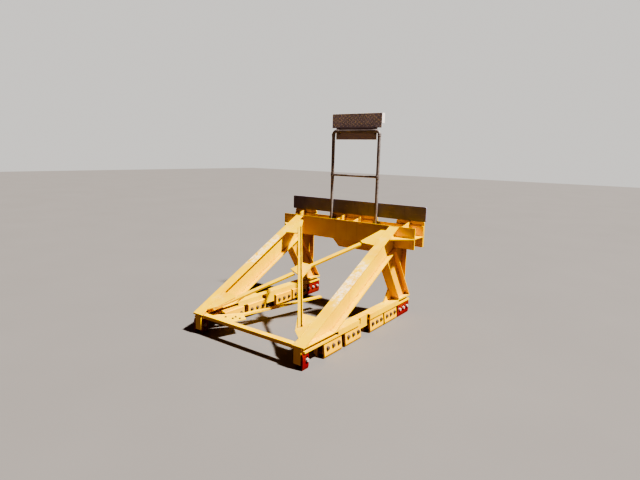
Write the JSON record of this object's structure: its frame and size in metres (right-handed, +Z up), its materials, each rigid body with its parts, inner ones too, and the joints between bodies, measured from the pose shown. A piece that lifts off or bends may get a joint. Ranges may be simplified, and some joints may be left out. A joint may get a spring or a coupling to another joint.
{
  "type": "railway buffer stop",
  "caption": "Raked-strut steel buffer stop that grips both rails, with a buffer beam, octagonal front plates, braces and a sign panel on a tube frame.",
  "frame": {"origin": "middle of the stop's outline, on the level of the toes of its hooked claws; the rail tops are 46 mm above it", "axes": "+X across the track, +Y along the track towards the trains, +Z up"},
  "size_m": [2.128, 2.3176, 2.625],
  "materials": {
    "yellow_paint": "weathered satin paint, faded and rusty in places",
    "red_paint": "worn satin paint",
    "board_coating": "dull dark coating",
    "bare_iron": "rough, rusty",
    "galvanised": "dull galvanised",
    "sign_sheet": "raised pattern, dull",
    "sign_case": "satin"
  },
  "bodies": {
    "root": {"buffer_beam": "yellow_paint", "beam_stiffeners": "yellow_paint", "front_plate_centre": "yellow_paint", "front_plate_left": "yellow_paint", "front_plate_right": "yellow_paint", "buffer_board": "board_coating", "strut_left": "yellow_paint", "strut_right": "yellow_paint", "end_plates": "yellow_paint", "corner_plates": "yellow_paint", "head_gussets": "yellow_paint", "knee_plates": "yellow_paint", "skid_left": "yellow_paint", "skid_right": "yellow_paint", "skid_blocks": "yellow_paint", "foot_plates": "yellow_paint", "leg_left": "yellow_paint", "leg_right": "yellow_paint", "leg_brackets": "yellow_paint", "foot_gussets": "yellow_paint", "clamp_jaws_left": "yellow_paint", "clamp_jaws_right": "yellow_paint", "rear_claws_left": "red_paint", "rear_claws_right": "red_paint", "front_claws_left": "red_paint", "front_claws_right": "red_paint", "clamp_shoes": "bare_iron", "rear_tie": "yellow_paint", "brace_long": "yellow_paint", "brace_upper": "yellow_paint", "brace_lower": "yellow_paint", "brace_plate": "yellow_paint", "level_plate": "yellow_paint", "level_brace": "yellow_paint", "post_saddles": "galvanised", "sign_post_left": "galvanised", "sign_post_right": "galvanised", "sign_top_tube": "galvanised", "sign_cross_rail": "galvanised", "rail_collars": "galvanised", "sign_panel": "sign_sheet", "sign_box": "sign_case"}
  },
  "joints": []
}
